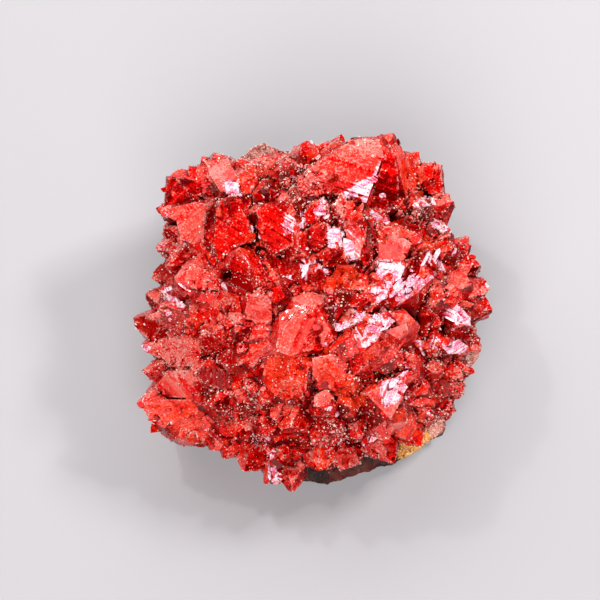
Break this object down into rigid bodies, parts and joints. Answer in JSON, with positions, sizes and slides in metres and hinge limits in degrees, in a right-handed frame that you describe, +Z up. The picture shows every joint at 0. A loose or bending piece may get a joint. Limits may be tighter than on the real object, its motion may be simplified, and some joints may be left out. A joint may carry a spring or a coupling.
{
  "type": "hematoid quartz",
  "caption": "Domed cluster of pointed red quartz crystals grown together over a low block of dark host rock with a flat underside.",
  "frame": {"origin": "the middle of the flat underside of the host rock", "axes": "+Z up, out of the resting face; the crystal crust faces up and leans 15 degrees towards -Y, the front; +X to the right seen from the front"},
  "size_m": [0.0749, 0.0735, 0.0423],
  "materials": {
    "red_quartz": "vitreous crystal faces, stained red by hematite, with pale and dark patches",
    "host_rock": "rough matt rock, brown-black, with an ochre patch and a pale rind"
  },
  "bodies": {
    "root": {"quartz_crystals": "red_quartz", "host_rock": "host_rock"}
  },
  "joints": []
}
